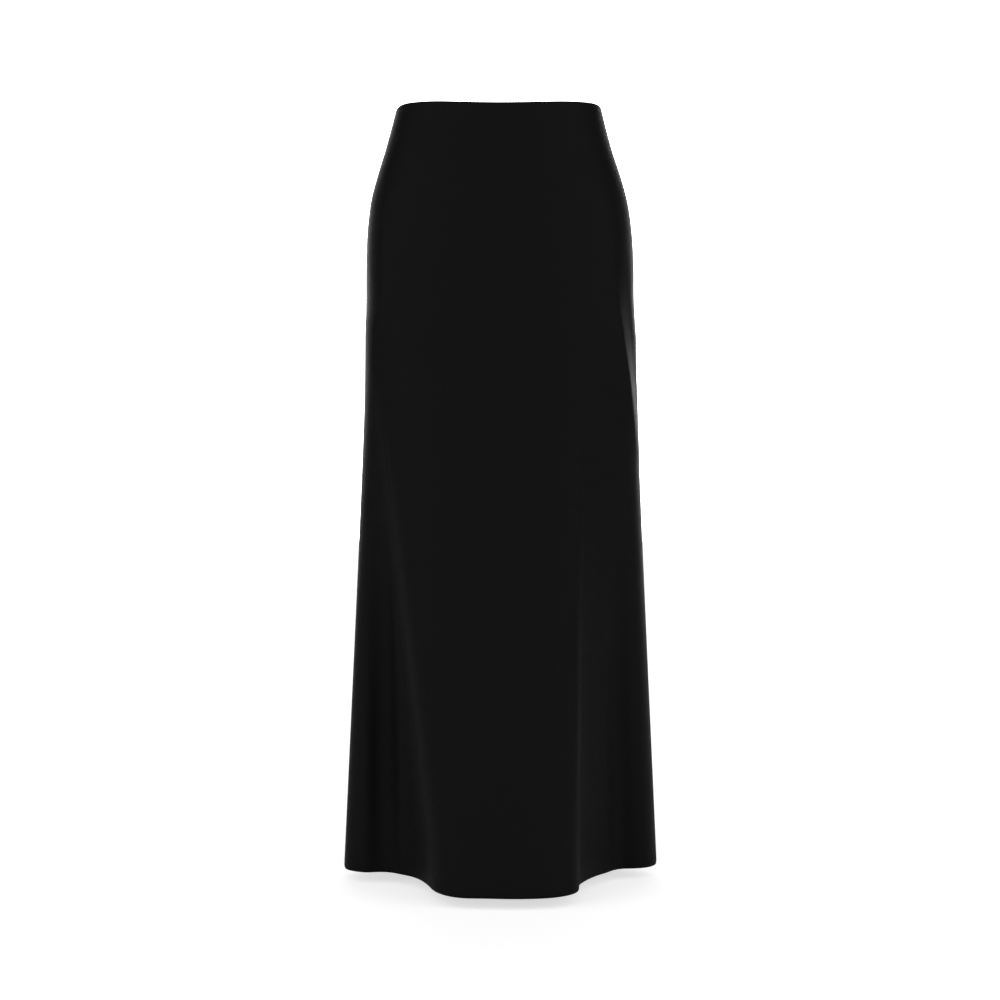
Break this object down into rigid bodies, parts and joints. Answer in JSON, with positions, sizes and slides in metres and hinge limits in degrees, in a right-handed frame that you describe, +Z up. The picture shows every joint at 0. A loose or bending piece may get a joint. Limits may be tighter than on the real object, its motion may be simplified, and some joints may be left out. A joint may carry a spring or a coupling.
{
  "type": "long wool skirt",
  "caption": "Ankle-length A-line skirt of plain black wool, filled out as when worn, with soft folds to the hem and a concealed back zip.",
  "frame": {"origin": "centre of the waist opening, at waist level, where the wearer holds the skirt", "axes": "+Z up, -Y towards the front of the skirt, +X towards the wearer's left"},
  "size_m": [0.4131, 0.3503, 0.9973],
  "materials": {
    "wool": "fine plain wool, matt, with a faint nap",
    "zip_tape": "woven polyester tape, matt",
    "zip_metal": "black enamel, satin"
  },
  "bodies": {
    "skirt": {"front": "wool", "back_left": "wool", "back_right": "wool", "zip_tape_left": "zip_tape", "zip_tape_right": "zip_tape", "zip_slider": "zip_metal"},
    "zip_pull": {"zip_pull": "zip_metal"}
  },
  "joints": [
    {"name": "zip_pull_swing", "type": "hinge", "parent": "skirt", "child": "zip_pull", "pos_m": [0, 0.09208, -0.01174], "axis": [1, 0, 0], "range_deg": [0, 170]}
  ]
}
